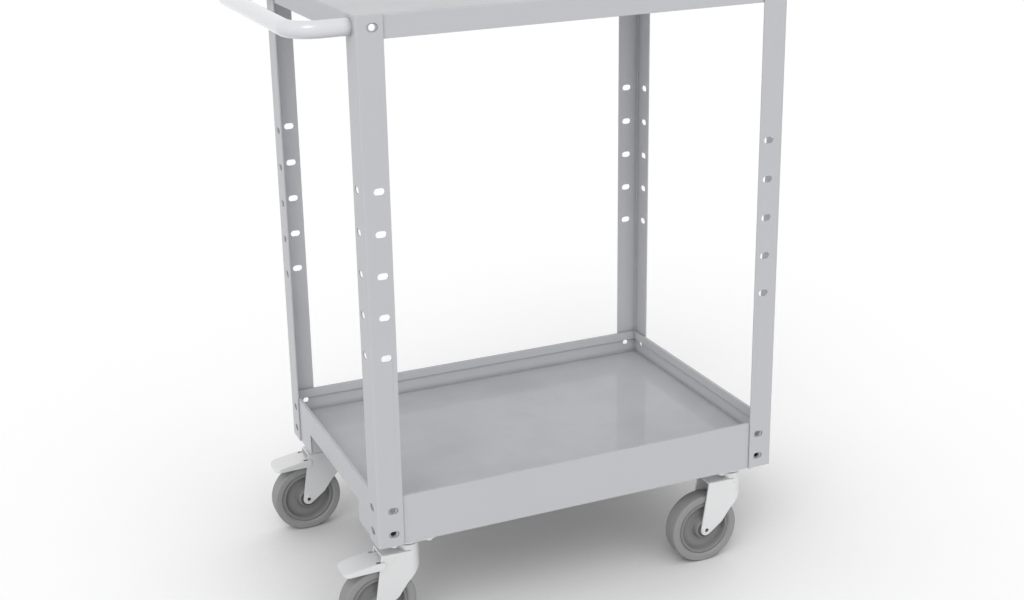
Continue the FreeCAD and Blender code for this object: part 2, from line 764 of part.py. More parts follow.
# Wheel: moulded core, rubber tyre and two flanged bushes
def wheel(corner):
    x, y, z = kingpin_at(corner)
    at = (f"{x} - axle_trail", y, "wheel_radius")
    bore, hub, rim = "bush_diameter / 2 + running_gap", "hub_diameter / 2", "rim_radius - running_gap"
    rim_inner, web, rim_half = "rim_radius - rim_depth", "web_thickness / 2", "tyre_width / 2 - rim_inset"
    core_side = [
        (bore, "hub_half"), (hub, "hub_half"), (f"{hub} + core_draft", web),
        (f"{rim_inner} - core_draft", web), (rim_inner, rim_half), (rim, rim_half),
    ]
    core = new_body("wheel_core")
    core_outline = sketch_on(core, "XY_Plane")
    outline(core_outline, core_side + [(radius, f"-({half})") for radius, half in reversed(core_side)])
    revolve(core, core_outline)
    keep(core, f"wheel_core_{corner}", at)
    tyre_side = [
        ("rim_radius", "tyre_width / 2 - tyre_groove"), ("rim_radius + tyre_lip", "tyre_width / 2"),
        ("wheel_radius", "tyre_width / 2"),
    ]
    tyre = new_body("tyre")
    tyre_outline = sketch_on(tyre, "XY_Plane")
    outline(tyre_outline, tyre_side + [(radius, f"-({half})") for radius, half in reversed(tyre_side)])
    revolve(tyre, tyre_outline)
    outer = number("wheel_radius")
    soften(tyre, "tyre_round",
           lambda edge: hasattr(edge.Curve, "Radius") and abs(edge.Curve.Radius - outer) < 1e-6)
    keep(tyre, f"tyre_{corner}", at)
    bushes = []
    for side in (-1, 1):
        barrel_span = on_side(side, "hub_half - bush_length", "hub_half")
        collar_span = on_side(side, "hub_half", "hub_half + bush_flange")
        hole_span = on_side(side, "hub_half - bush_length", "hub_half + bush_flange")
        barrel = rod("bush_barrel", "y", ("0", "0"), barrel_span, "bush_diameter / 2")
        collar = rod("bush_collar", "y", ("0", "0"), collar_span, "bush_collar / 2")
        hole = rod("bush_hole", "y", ("0", "0"), hole_span, "sleeve_diameter / 2 + running_gap")
        bushes.append(carve("bush", join("bush_solid", [barrel, collar]), [hole]))
    keep(group("bush_pair", bushes), f"wheel_bushes_{corner}", at)


# Pressed pedal tread: sheet falling to a round tip, with side lips that run out towards it
def pedal_tread():
    tread = new_body("pedal_tread")
    side = sketch_on(tread, "XZ_Plane")
    outline(side, [
        ("-pedal_root", "pedal_top"), ("-pedal_root", "pedal_under - pedal_lip"),
        ("-pedal_reach", "pedal_under - pedal_drop - pedal_tip_lip"),
        ("-pedal_reach", "pedal_top - pedal_drop"),
    ])
    pad(tread, side, "pedal_width", both=True)
    tip = -number("pedal_reach")
    soften(tread, "pedal_round", lambda edge: upright(edge) and abs(edge.CenterOfMass.x - tip) < 1e-6)
    hollow = sketch_on(tread, "XZ_Plane")
    end = "(pedal_reach - pedal_round)"
    end_level = f"pedal_under - pedal_drop * ({end} - pedal_root) / (pedal_reach - pedal_root)"
    root_level = "pedal_under + pedal_drop / (pedal_reach - pedal_root)"
    below = "pedal_under - pedal_lip - pedal_drop"
    outline(hollow, [
        ("1 - pedal_root", root_level), ("1 - pedal_root", below), (f"-{end}", below), (f"-{end}", end_level),
    ])
    pocket(tread, hollow, "pedal_width - 2 * pedal_sheet", both=True)
    return tread


# Brake: pedal on a pin between the fork legs with its lips outside them, shoe over the tyre, leaf spring
def brake(corner):
    at = kingpin_at(corner)
    tread = pedal_tread()
    tongue_ys = ("-tongue_half", "tongue_half")
    tongue_zs = ("pedal_under", "pedal_top")
    tongue = block("pedal_tongue", ("-pedal_root", "-pedal_pivot"), tongue_ys, tongue_zs)
    axis_at = ("-pedal_pivot", "pedal_axis")
    barrel = rod("pedal_barrel", "y", axis_at, tongue_ys, "pedal_barrel / 2")
    bore = rod("pedal_bore", "y", axis_at, tongue_ys, "pedal_pin / 2 + running_gap")
    ear_xs = ("-pedal_root", "pedal_ear - pedal_root")
    ear_zs = ("pedal_under - pedal_lip", "pedal_top")
    half = "pedal_width / 2"
    ears = []
    for side in (-1, 1):
        ears.append(block("pedal_ear", ear_xs, on_side(side, f"{half} - pedal_sheet", half), ear_zs))
    pressed = join("pedal_sheet", [tread, tongue, barrel] + ears)
    keep(carve("pedal", pressed, [bore]), f"brake_pedal_{corner}", at)
    pin = rod("pin_bar", "y", axis_at, ("-fork_half", "fork_half"), "pedal_pin / 2")
    soft_pin = rounded("pedal_pin", pin, "pin_round", lambda side: side.BoundBox.YLength < 1e-6)
    keep(soft_pin, f"pedal_pin_{corner}", at)
    shoe_ys = ("shoe_margin - tongue_half", "tongue_half - shoe_margin")
    shoe_zs = ("tyre_top + shoe_gap", "pedal_under")
    shoe = block("shoe_block", ("-pedal_root", "shoe_length - pedal_root"), shoe_ys, shoe_zs)
    shoe_level = number("tyre_top + shoe_gap")
    soft_shoe = rounded("brake_shoe", shoe, "shoe_round", lambda side: at_level(side, shoe_level))
    keep(soft_shoe, f"brake_shoe_{corner}", at)
    spring = new_body("brake_spring")
    strip = sketch_on(spring, "XZ_Plane")
    root, bend = "-kingpin_head / 2 - spring_setback", "-pedal_pivot + spring_rise"
    end = "-pedal_pivot - spring_reach"
    outline(strip, [
        (root, "crown_under"), (bend, "crown_under"), (end, "pedal_top + free_gap + spring_sheet"),
        (end, "pedal_top + free_gap"), (bend, "crown_under - spring_sheet"),
        (root, "crown_under - spring_sheet"),
    ])
    pad(spring, strip, "spring_width", both=True)
    keep(spring, f"brake_spring_{corner}", at)


bolts = []
nuts = []
for corner in CORNERS:
    caster_mount(corner)
    top_plate(corner)
    race_balls(corner)
    king_pin(corner)
    fork(corner)
    axle(corner)
    wheel(corner)
    if corner in BRAKED:
        brake(corner)
    corner_x, corner_y, corner_z = kingpin_at(corner)
    for bolt_x, bolt_y in plate_bolts():
        at = (f"{corner_x} + {bolt_x}", f"{corner_y} + {bolt_y}")
        head_span = ("plate_under - plate_bolt_head", "plate_under")
        shank_span = ("plate_under", "mount_top + plate_nut + thread_end")
        nut_span = ("mount_top", "mount_top + plate_nut")
        head = hexagon("plate_bolt_head", "z", at, head_span, "plate_bolt_flats")
        shank = rod("plate_bolt_shank", "z", at, shank_span, "plate_bolt / 2")
        bolts.append(join("plate_bolt", [head, shank]))
        nut = hexagon("plate_nut_body", "z", at, nut_span, "plate_bolt_flats")
        hole = rod("plate_nut_hole", "z", at, nut_span, "plate_bolt / 2 + thread_gap")
        nuts.append(carve("plate_nut", nut, [hole]))
keep(group("caster_bolt_set", bolts), "caster_bolts")
keep(group("caster_nut_set", nuts), "caster_nuts")

doc.recompute()
for item in doc.Objects:
    if "Invalid" in item.State or "Error" in item.State:
        raise RuntimeError(f"{item.Label} did not build: {item.State}")
for item in nodes:
    if item.Shape.isNull() or not item.Shape.isValid():
        raise RuntimeError(f"{item.Label} has no valid shape")

os.makedirs("parts", exist_ok=True)
for item in nodes:
    item.Shape.exportStep(f"parts/{item.Label}.step")
print(len(nodes), "sub-parts written")
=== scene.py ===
import json
import math

import bmesh
import bpy
from mathutils import Matrix, Vector


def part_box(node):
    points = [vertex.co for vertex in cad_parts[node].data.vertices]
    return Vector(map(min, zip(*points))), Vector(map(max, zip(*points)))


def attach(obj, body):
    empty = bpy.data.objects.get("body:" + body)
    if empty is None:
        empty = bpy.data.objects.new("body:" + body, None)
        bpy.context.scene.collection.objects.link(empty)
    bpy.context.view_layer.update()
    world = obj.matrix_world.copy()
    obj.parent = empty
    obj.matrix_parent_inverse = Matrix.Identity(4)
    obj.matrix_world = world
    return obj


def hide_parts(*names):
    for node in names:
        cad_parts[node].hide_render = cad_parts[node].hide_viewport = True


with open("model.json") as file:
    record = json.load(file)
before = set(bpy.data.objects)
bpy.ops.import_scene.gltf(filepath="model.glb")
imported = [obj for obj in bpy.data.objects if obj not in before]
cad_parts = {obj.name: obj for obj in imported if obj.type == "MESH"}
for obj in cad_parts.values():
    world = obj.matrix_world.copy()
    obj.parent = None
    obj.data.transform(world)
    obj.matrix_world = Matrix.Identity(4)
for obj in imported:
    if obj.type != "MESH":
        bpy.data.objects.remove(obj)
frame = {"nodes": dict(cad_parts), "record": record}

# Lab trolley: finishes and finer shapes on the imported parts, in metres

MM = 0.001
CORNERS = ("front_left", "front_right", "back_left", "back_right")
BRAKED = ("front_left", "back_left")

# Camera found from the photograph, image 1024 by 600
CAMERA_PLACE = (-0.7964, -1.8544, 1.1193)
CAMERA_TURN = -21.021
CAMERA_TILT = 17.110
CAMERA_ROLL = 1.792
CAMERA_LENS = 51.829
CAMERA_SHIFT = (0.0703, -0.0684)
CAMERA_SENSOR = 36.0
CAMERA_CLIP = (0.05, 100.0)

# Light on the trolley
SKY_EVEN = 0.50
SKY_FRONT = 0.72
SKY_LEFT = 0.40
LAMP_STRENGTH = 0.60
LAMP_SPREAD = 30
LAMP_FROM = (-0.40, -0.55, 0.73)

# Colours in linear light
FRAME_GREY = (0.548, 0.554, 0.578)
HANDLE_WHITE = (0.690, 0.700, 0.735)
ZINC_GREY = (0.780, 0.783, 0.790)
TYRE_GREY = (0.300, 0.300, 0.302)
CORE_GREY = (0.230, 0.230, 0.233)
BUSH_GREY = (0.080, 0.080, 0.085)
SHOE_BLACK = (0.035, 0.035, 0.036)
FLOOR_WHITE = 0.95
FLOOR_BOUNCE = 0.72
FLOOR_LIFT = 0.18
FLOOR_PAINTED_SHADOW = 0.38
FLOOR_REACH = 0.6
FLOOR_SIDE = 30.0

# Sizes of the patterns in the finishes, in waves per metre
CLOUD_WAVES = 4.5
GLOSS_WAVES = 14.0
PAINTED_SHADE_WAVES = 40.0
RUB_AND_HIGHLIGHT_WAVES = 60.0
SPECK_WAVES = 2600.0

# Mesh making: merging gaps in metres, angles in degrees
CAD_MERGE = 2e-6
GROWN_MERGE = 1e-5
FLAT_ANGLE = 0.4
EASE_ANGLE = 32
GROWN_CRISP = 35
WHEEL_CRISP = 40

# Sizes that the CAD boxes don't give
TUBE_RADIUS, TUBE_WALL, TUBE_BEND = 11 * MM, 2 * MM, 36 * MM
BOLT_X, BOLT_Y = 25 * MM, 19 * MM
BOLT_HEAD, NUT_HEIGHT = 4 * MM, 5 * MM
SHEET_EASE, AXLE_EASE, PEDAL_EASE = 0.35 * MM, 0.25 * MM, 0.4 * MM

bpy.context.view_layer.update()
nodes = frame["nodes"]
bodies = frame["record"]["behaviour"]["bodies"]
body_of_node = {node: body for body, members in bodies.items() for node in members}


# Node tree helpers


def add_node(tree, kind, **settings):
    node = tree.nodes.new(kind)
    for name, value in settings.items():
        setattr(node, name, value)
    return node


def feed(tree, source, target):
    tree.links.new(source, target)


# Two-value sum of any kind, each side a socket or a number
def maths(tree, operation, first, second=None, clamp=False):
    node = add_node(tree, "ShaderNodeMath", operation=operation, use_clamp=clamp)
    for socket, value in zip(node.inputs, (first, second)):
        if value is None:
            continue
        if isinstance(value, (int, float)):
            socket.default_value = value
        else:
            feed(tree, value, socket)
    return node.outputs[0]


# Noise in object space, as a value round one half
def noise(tree, place, scale, detail=2.0, rough=0.5):
    node = add_node(tree, "ShaderNodeTexNoise")
    node.inputs["Detail"].default_value = detail
    node.inputs["Roughness"].default_value = rough
    feed(tree, place, node.inputs["Vector"])
    if isinstance(scale, (int, float)):
        node.inputs["Scale"].default_value = scale
    else:
        feed(tree, scale, node.inputs["Scale"])
    return node.outputs["Fac"]


# Colour times a value
def shade(tree, colour, value):
    node = add_node(tree, "ShaderNodeVectorMath", operation="SCALE")
    feed(tree, colour, node.inputs[0])
    feed(tree, value, node.inputs["Scale"])
    return node.outputs[0]


# Colour moved towards another by a mask
def blend_colour(tree, mask, first, second):
    node = add_node(tree, "ShaderNodeMix", data_type="RGBA")
    feed(tree, mask, node.inputs[0])
    for socket, value in ((node.inputs[6], first), (node.inputs[7], second)):
        if isinstance(value, tuple):
            socket.default_value = (*value, 1.0)
        else:
            feed(tree, value, socket)
    return node.outputs[2]


def ramp(tree, value, low, high):
    node = add_node(tree, "ShaderNodeMapRange", interpolation_type="SMOOTHSTEP")
    feed(tree, value, node.inputs["Value"])
    node.inputs["From Min"].default_value = low
    node.inputs["From Max"].default_value = high
    return node.outputs["Result"]


# Shader group with named inputs and outputs
def shader_group(name, inputs, outputs):
    tree = bpy.data.node_groups.new(name, "ShaderNodeTree")
    for label, kind, value in inputs:
        socket = tree.interface.new_socket(label, in_out="INPUT", socket_type=kind)
        socket.default_value = value
    for label, kind in outputs:
        tree.interface.new_socket(label, in_out="OUTPUT", socket_type=kind)
    return tree, add_node(tree, "NodeGroupInput"), add_node(tree, "NodeGroupOutput")


FLOAT, COLOUR = "NodeSocketFloat", "NodeSocketColor"
INTEGER, SHAPE, FINISH = "NodeSocketInt", "NodeSocketGeometry", "NodeSocketMaterial"


# Sprayed or moulded surface: clouded colour, uneven gloss and a fine pebbled height
def make_surface_grain():
    tree, given, made = shader_group(
        "surface_grain",
        [("Colour", COLOUR, (0.5, 0.5, 0.5, 1)), ("Cloud", FLOAT, 0.04), ("Speck", FLOAT, 0.03),
         ("Grain Size", FLOAT, 700.0), ("Roughness", FLOAT, 0.4), ("Gloss Spread", FLOAT, 0.08)],
        [("Colour", COLOUR), ("Roughness", FLOAT), ("Height", FLOAT)])
    place = add_node(tree, "ShaderNodeTexCoord").outputs["Object"]
    cloud = maths(tree, "SUBTRACT", noise(tree, place, CLOUD_WAVES, 3.0), 0.5)
    fine = maths(tree, "SUBTRACT", noise(tree, place, given.outputs["Grain Size"], 2.0), 0.5)
    speck = maths(tree, "SUBTRACT", noise(tree, place, SPECK_WAVES, 1.0), 0.5)
    tone = maths(tree, "MULTIPLY", cloud, given.outputs["Cloud"])
    tone = maths(tree, "ADD", tone, maths(tree, "MULTIPLY", speck, given.outputs["Speck"]))
    tone = maths(tree, "ADD", tone, 1.0)
    feed(tree, shade(tree, given.outputs["Colour"], tone), made.inputs["Colour"])
    patches = maths(tree, "SUBTRACT", noise(tree, place, GLOSS_WAVES, 3.0, 0.6), 0.5)
    uneven = maths(tree, "MULTIPLY", patches, given.outputs["Gloss Spread"])
    feed(tree, maths(tree, "ADD", given.outputs["Roughness"], uneven, clamp=True), made.inputs["Roughness"])
    feed(tree, maths(tree, "ADD", fine, maths(tree, "MULTIPLY", speck, 0.25)), made.inputs["Height"])
    return tree


# Mask of edges lightened, partly as rubbed wear and partly as a painted highlight, broken up by noise
def make_edge_rub_and_highlight():
    tree, given, made = shader_group(
        "edge_rub", [("Reach", FLOAT, 0.0008), ("Amount", FLOAT, 0.5)], [("Mask", FLOAT)])
    place = add_node(tree, "ShaderNodeTexCoord").outputs["Object"]
    soft = add_node(tree, "ShaderNodeBevel", samples=4)
    feed(tree, given.outputs["Reach"], soft.inputs["Radius"])
    plain = add_node(tree, "ShaderNodeNewGeometry").outputs["Normal"]
    match = add_node(tree, "ShaderNodeVectorMath", operation="DOT_PRODUCT")
    feed(tree, soft.outputs["Normal"], match.inputs[0])
    feed(tree, plain, match.inputs[1])
    edge = ramp(tree, maths(tree, "SUBTRACT", 1.0, match.outputs["Value"]), 0.02, 0.22)
    broken = ramp(tree, noise(tree, place, RUB_AND_HIGHLIGHT_WAVES, 4.0, 0.65), 0.36, 0.62)
    mask = maths(tree, "MULTIPLY", maths(tree, "MULTIPLY", edge, broken), given.outputs["Amount"])
    feed(tree, mask, made.inputs["Mask"])
    return tree


# Mask of dust lying on faces that look upwards
def make_settled_dust():
    tree, given, made = shader_group(
        "settled_dust", [("Patch Size", FLOAT, 18.0), ("Amount", FLOAT, 0.2)], [("Mask", FLOAT)])
    place = add_node(tree, "ShaderNodeTexCoord").outputs["Object"]
    normal = add_node(tree, "ShaderNodeNewGeometry").outputs["Normal"]
    parts = add_node(tree, "ShaderNodeSeparateXYZ")
    feed(tree, normal, parts.inputs[0])
    facing_up = ramp(tree, parts.outputs["Z"], -0.1, 1.0)
    patches = ramp(tree, noise(tree, place, given.outputs["Patch Size"], 5.0, 0.62), 0.3, 0.75)
    mask = maths(tree, "MULTIPLY", maths(tree, "MULTIPLY", facing_up, patches), given.outputs["Amount"])
    feed(tree, mask, made.inputs["Mask"])
    return tree


# Mask of painted shade in inner corners and recesses, from ambient occlusion broken up by noise, of the
# whole trolley or of one piece by itself
def make_painted_shade(name, own_piece):
    tree, given, made = shader_group(
        name, [("Reach", FLOAT, 0.006), ("Amount", FLOAT, 0.4)], [("Mask", FLOAT)])
    place = add_node(tree, "ShaderNodeTexCoord").outputs["Object"]
    shelter = add_node(tree, "ShaderNodeAmbientOcclusion", samples=6, only_local=own_piece)
    feed(tree, given.outputs["Reach"], shelter.inputs["Distance"])
    hidden = ramp(tree, maths(tree, "SUBTRACT", 1.0, shelter.outputs["AO"]), 0.04, 0.55)
    patches = ramp(tree, noise(tree, place, PAINTED_SHADE_WAVES, 4.0, 0.6), 0.2, 0.6)
    broken = maths(tree, "ADD", maths(tree, "MULTIPLY", patches, 0.35), 0.65)
    mask = maths(tree, "MULTIPLY", maths(tree, "MULTIPLY", hidden, broken), given.outputs["Amount"])
    feed(tree, mask, made.inputs["Mask"])
    return tree


SURFACE_GRAIN = make_surface_grain()
EDGE_RUB_AND_HIGHLIGHT = make_edge_rub_and_highlight()
SETTLED_DUST = make_settled_dust()
# Painted shade in corners: seams between pieces, and recesses within one piece
SEAM_PAINTED_SHADE = make_painted_shade("seam_grime", False)
RECESS_PAINTED_SHADE = make_painted_shade("recess_grime", True)


def place_group(tree, group, **values):
    node = add_node(tree, "ShaderNodeGroup", node_tree=group)
    for label, value in values.items():
        node.inputs[label.replace("_", " ")].default_value = value
    return node


# Material whose colour, gloss and height come from the shared effects
def make_finish(name, colour, grain, rub_and_highlight, dust, painted_shade, bump, fixed):
    material = bpy.data.materials.new(name)
    material.use_nodes = True
    tree = material.node_tree
    shader = next(node for node in tree.nodes if node.type == "BSDF_PRINCIPLED")
    surface = place_group(tree, SURFACE_GRAIN, Colour=(*colour, 1.0), **grain)
    tone = surface.outputs["Colour"]
    gloss = surface.outputs["Roughness"]
    # Edges lightened, partly as rubbed wear and partly as a painted highlight
    if rub_and_highlight:
        edges = place_group(tree, EDGE_RUB_AND_HIGHLIGHT, Reach=rub_and_highlight["reach"], Amount=rub_and_highlight["amount"])
        tone = blend_colour(tree, edges.outputs["Mask"], tone, rub_and_highlight["colour"])
    if dust:
        grey = place_group(tree, SETTLED_DUST, Patch_Size=dust["patch"], Amount=dust["amount"])
        tone = blend_colour(tree, grey.outputs["Mask"], tone, dust["colour"])
        gloss = maths(tree, "ADD", gloss, maths(tree, "MULTIPLY", grey.outputs["Mask"], 0.35), clamp=True)
    # Painted shade: the colour darkens in corners and recesses where ambient occlusion finds shelter
    if painted_shade:
        dark = place_group(tree, painted_shade["kind"], Reach=painted_shade["reach"], Amount=painted_shade["amount"])
        tone = blend_colour(tree, dark.outputs["Mask"], tone, painted_shade["colour"])
    feed(tree, tone, shader.inputs["Base Color"])
    feed(tree, gloss, shader.inputs["Roughness"])
    relief = add_node(tree, "ShaderNodeBump")
    relief.inputs["Strength"].default_value = bump["strength"]
    relief.inputs["Distance"].default_value = bump["depth"]
    feed(tree, surface.outputs["Height"], relief.inputs["Height"])
    feed(tree, relief.outputs["Normal"], shader.inputs["Normal"])
    for label, value in fixed.items():
        shader.inputs[label].default_value = value
    return material


PALE_DUST = (0.52, 0.51, 0.49)
GREY_DUST_AND_PAINTED_SHADE = (0.38, 0.378, 0.38)
# Colours that the painted shade in corners and recesses darkens towards
DARK_PAINTED_SHADE = (0.16, 0.16, 0.165)
BLACK_PAINTED_SHADE = (0.05, 0.05, 0.052)
frame_paint = make_finish(
    "light_grey_powder_coat", FRAME_GREY,
    dict(Cloud=0.05, Speck=0.05, Grain_Size=520.0, Roughness=0.42, Gloss_Spread=0.10),
    dict(reach=0.0009, amount=0.30, colour=(0.74, 0.745, 0.77)),
    # Dust on upward faces, greyer than the paint, so that it also paints shade on the tops
    dict(patch=9.0, amount=0.32, colour=GREY_DUST_AND_PAINTED_SHADE),
    dict(kind=SEAM_PAINTED_SHADE, reach=0.010, amount=0.46, colour=DARK_PAINTED_SHADE),
    dict(strength=0.10, depth=0.0002),
    {"Coat Weight": 0.42, "Coat Roughness": 0.05, "Specular IOR Level": 0.05})
handle_paint = make_finish(
    "white_powder_coat", HANDLE_WHITE,
    dict(Cloud=0.04, Speck=0.04, Grain_Size=560.0, Roughness=0.20, Gloss_Spread=0.08),
    None,
    dict(patch=12.0, amount=0.04, colour=PALE_DUST),
    dict(kind=SEAM_PAINTED_SHADE, reach=0.010, amount=0.60, colour=DARK_PAINTED_SHADE),
    dict(strength=0.08, depth=0.0002),
    {"Coat Weight": 1.0, "Coat Roughness": 0.08})
zinc = make_finish(
    "bright_zinc_plate", ZINC_GREY,
    dict(Cloud=0.20, Speck=0.10, Grain_Size=1100.0, Roughness=0.32, Gloss_Spread=0.24),
    dict(reach=0.0007, amount=0.35, colour=(0.90, 0.90, 0.91)),
    dict(patch=30.0, amount=0.03, colour=PALE_DUST),
    dict(kind=RECESS_PAINTED_SHADE, reach=0.012, amount=0.60, colour=DARK_PAINTED_SHADE),
    dict(strength=0.10, depth=0.00012),
    {"Metallic": 0.30})
tyre_rubber = make_finish(
    "grey_tyre_rubber", TYRE_GREY,
    dict(Cloud=0.16, Speck=0.14, Grain_Size=900.0, Roughness=0.62, Gloss_Spread=0.16),
    dict(reach=0.0010, amount=0.25, colour=(0.33, 0.33, 0.33)),
    dict(patch=55.0, amount=0.30, colour=(0.36, 0.355, 0.345)),
    dict(kind=RECESS_PAINTED_SHADE, reach=0.006, amount=0.60, colour=BLACK_PAINTED_SHADE),
    dict(strength=0.25, depth=0.0002),
    {"Specular IOR Level": 0.35})
core_plastic = make_finish(
    "grey_moulded_core", CORE_GREY,
    dict(Cloud=0.14, Speck=0.10, Grain_Size=1300.0, Roughness=0.50, Gloss_Spread=0.14),
    dict(reach=0.0010, amount=0.50, colour=(0.40, 0.40, 0.41)),
    dict(patch=60.0, amount=0.20, colour=(0.36, 0.355, 0.345)),
    dict(kind=RECESS_PAINTED_SHADE, reach=0.010, amount=0.85, colour=BLACK_PAINTED_SHADE),
    dict(strength=0.18, depth=0.00015),
    {"Specular IOR Level": 0.4})
bush_plastic = make_finish(
    "dark_bush_plastic", BUSH_GREY,
    dict(Cloud=0.14, Speck=0.10, Grain_Size=1300.0, Roughness=0.42, Gloss_Spread=0.14),
    None, None, None, dict(strength=0.15, depth=0.0001), {})
shoe_rubber = make_finish(
    "black_shoe_rubber", SHOE_BLACK,
    dict(Cloud=0.20, Speck=0.15, Grain_Size=900.0, Roughness=0.75, Gloss_Spread=0.12),
    None, dict(patch=60.0, amount=0.20, colour=(0.20, 0.20, 0.20)), None,
    dict(strength=0.3, depth=0.0002), {})

FINISHES = {
    "frame_paint": frame_paint, "handle_paint": handle_paint, "zinc": zinc, "tyre": tyre_rubber,
    "wheel_core": core_plastic, "bush": bush_plastic, "brake_rubber": shoe_rubber,
}
slot_of_node = {part["node"]: part["material_slot"] for part in frame["record"]["subparts"]}


# Add a finished mesh to the trolley in place of CAD nodes
def fit(obj, *stands_for):
    slot = slot_of_node[stands_for[0]]
    obj.data.materials.clear()
    obj.data.materials.append(FINISHES[slot])
    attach(obj, body_of_node[stands_for[0]])
    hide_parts(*stands_for)
    return obj


def new_piece(name, mesh):
    obj = bpy.data.objects.new(name, mesh)
    bpy.context.scene.collection.objects.link(obj)
    return obj


# Sheets of one node that touch, parted again after their points were merged.
# The faces wait in a dict, because a set's order changes from run to run.
def part_sheets(work):
    waiting = dict.fromkeys(work.faces)
    sheets = []
    while waiting:
        reached = [waiting.popitem()[0]]
        sheet = []
        while reached:
            face = reached.pop()
            sheet.append(face)
            beside = [other for edge in face.edges if len(edge.link_faces) == 2 for other in edge.link_faces]
            for other in beside:
                if other in waiting:
                    del waiting[other]
                    reached.append(other)
        sheets.append(sheet)
    for sheet in sheets[1:]:
        bmesh.ops.split(work, geom=sheet)


# Pressed or folded part: the CAD shape with flat faces made whole and sharp edges eased
def eased(node, ease, steps=2):
    mesh = bpy.data.meshes.new(f"{node}_eased")
    work = bmesh.new()
    work.from_mesh(nodes[node].data)
    bmesh.ops.remove_doubles(work, verts=work.verts[:], dist=CAD_MERGE)
    part_sheets(work)
    bmesh.ops.dissolve_limit(
        work, angle_limit=math.radians(FLAT_ANGLE), verts=work.verts[:], edges=work.edges[:])
    work.to_mesh(mesh)
    work.free()
    mesh.shade_smooth()
    obj = new_piece(f"{node}_eased", mesh)
    bevel = obj.modifiers.new("eased_edges", "BEVEL")
    bevel.width = ease
    bevel.segments = steps
    bevel.limit_method = "ANGLE"
    bevel.angle_limit = math.radians(EASE_ANGLE)
    bevel.use_clamp_overlap = False
    flat = obj.modifiers.new("flat_faces", "WEIGHTED_NORMAL")
    flat.mode = "FACE_AREA"
    flat.weight = 100
    return fit(obj, node)


# Geometry node tree with named sizes, grown from the geometry it is given
def shape_tree(name, inputs):
    tree = bpy.data.node_groups.new(name, "GeometryNodeTree")
    tree.is_modifier = True
    tree.interface.new_socket("Geometry", in_out="INPUT", socket_type=SHAPE)
    for label, kind, value in inputs:
        tree.interface.new_socket(label, in_out="INPUT", socket_type=kind).default_value = value
    tree.interface.new_socket("Finish", in_out="INPUT", socket_type=FINISH)
    tree.interface.new_socket("Geometry", in_out="OUTPUT", socket_type=SHAPE)
    return tree, add_node(tree, "NodeGroupInput"), add_node(tree, "NodeGroupOutput")


# Node of a geometry tree with its inputs set or linked by name
def part_node(tree, kind, settings=None, **values):
    node = add_node(tree, kind, **(settings or {}))
    for label, value in values.items():
        socket = node.inputs[label.replace("_", " ")]
        if isinstance(value, bpy.types.NodeSocket):
            feed(tree, value, socket)
        else:
            socket.default_value = value
    return node.outputs[0]


# Last nodes of every tree: real mesh, smooth faces with crisp edges, finish
def close_tree(tree, given, made, shape):
    real = part_node(tree, "GeometryNodeRealizeInstances", Geometry=shape)
    whole = part_node(tree, "GeometryNodeMergeByDistance", Geometry=real, Distance=GROWN_MERGE)
    smooth = part_node(tree, "GeometryNodeSetShadeSmooth", Geometry=whole, Shade_Smooth=True)
    angle = add_node(tree, "GeometryNodeInputMeshEdgeAngle").outputs["Unsigned Angle"]
    sharp = maths(tree, "GREATER_THAN", angle, math.radians(GROWN_CRISP))
    crisp = part_node(tree, "GeometryNodeSetShadeSmooth", dict(domain="EDGE"), Geometry=smooth,
                      Selection=sharp, Shade_Smooth=False)
    coated = part_node(tree, "GeometryNodeSetMaterial", Geometry=crisp, Material=given.outputs["Finish"])
    feed(tree, coated, made.inputs["Geometry"])
    return tree


# Plain mesh grown by a tree from points and lines, all in metres
def grown(name, tree, points, lines, finish, **sizes):
    seed_mesh = bpy.data.meshes.new(f"{name}_seed")
    seed_mesh.from_pydata(points, lines, [])
    seed = new_piece(f"{name}_seed", seed_mesh)
    modifier = seed.modifiers.new(tree.name, "NODES")
    modifier.node_group = tree
    sizes["Finish"] = finish
    for item in tree.interface.items_tree:
        if item.in_out == "INPUT" and item.name.replace(" ", "_") in sizes:
            modifier[item.identifier] = sizes[item.name.replace(" ", "_")]
    view = bpy.context.evaluated_depsgraph_get()
    mesh = bpy.data.meshes.new_from_object(seed.evaluated_get(view))
    mesh.name = name
    seed.modifiers.remove(modifier)
    bpy.data.objects.remove(seed)
    return new_piece(name, mesh)


# Bent tube: the corners of a line rounded, a ring swept along it and given its wall
def make_bent_tube():
    tree, given, made = shape_tree(
        "bent_tube",
        [("Tube Radius", FLOAT, 0.011), ("Wall", FLOAT, 0.002), ("Bend Radius", FLOAT, 0.036),
         ("Bend Steps", INTEGER, 28), ("Round Steps", INTEGER, 56)])
    line = part_node(tree, "GeometryNodeMeshToCurve", Mesh=given.outputs["Geometry"])
    route = part_node(tree, "GeometryNodeFilletCurve", dict(mode="POLY"), Curve=line,
                      Radius=given.outputs["Bend Radius"], Count=given.outputs["Bend Steps"])
    ring = part_node(tree, "GeometryNodeCurvePrimitiveCircle", dict(mode="RADIUS"),
                     Resolution=given.outputs["Round Steps"], Radius=given.outputs["Tube Radius"])
    skin = part_node(tree, "GeometryNodeCurveToMesh", Curve=route, Profile_Curve=ring)
    inward = maths(tree, "MULTIPLY", given.outputs["Wall"], -1.0)
    lining = part_node(tree, "GeometryNodeExtrudeMesh", dict(mode="FACES"), Mesh=skin,
                       Offset_Scale=inward, Individual=False)
    bore = part_node(tree, "GeometryNodeFlipFaces", Mesh=lining)
    joined = add_node(tree, "GeometryNodeJoinGeometry")
    feed(tree, skin, joined.inputs[0])
    feed(tree, bore, joined.inputs[0])
    return close_tree(tree, given, made, joined.outputs[0])


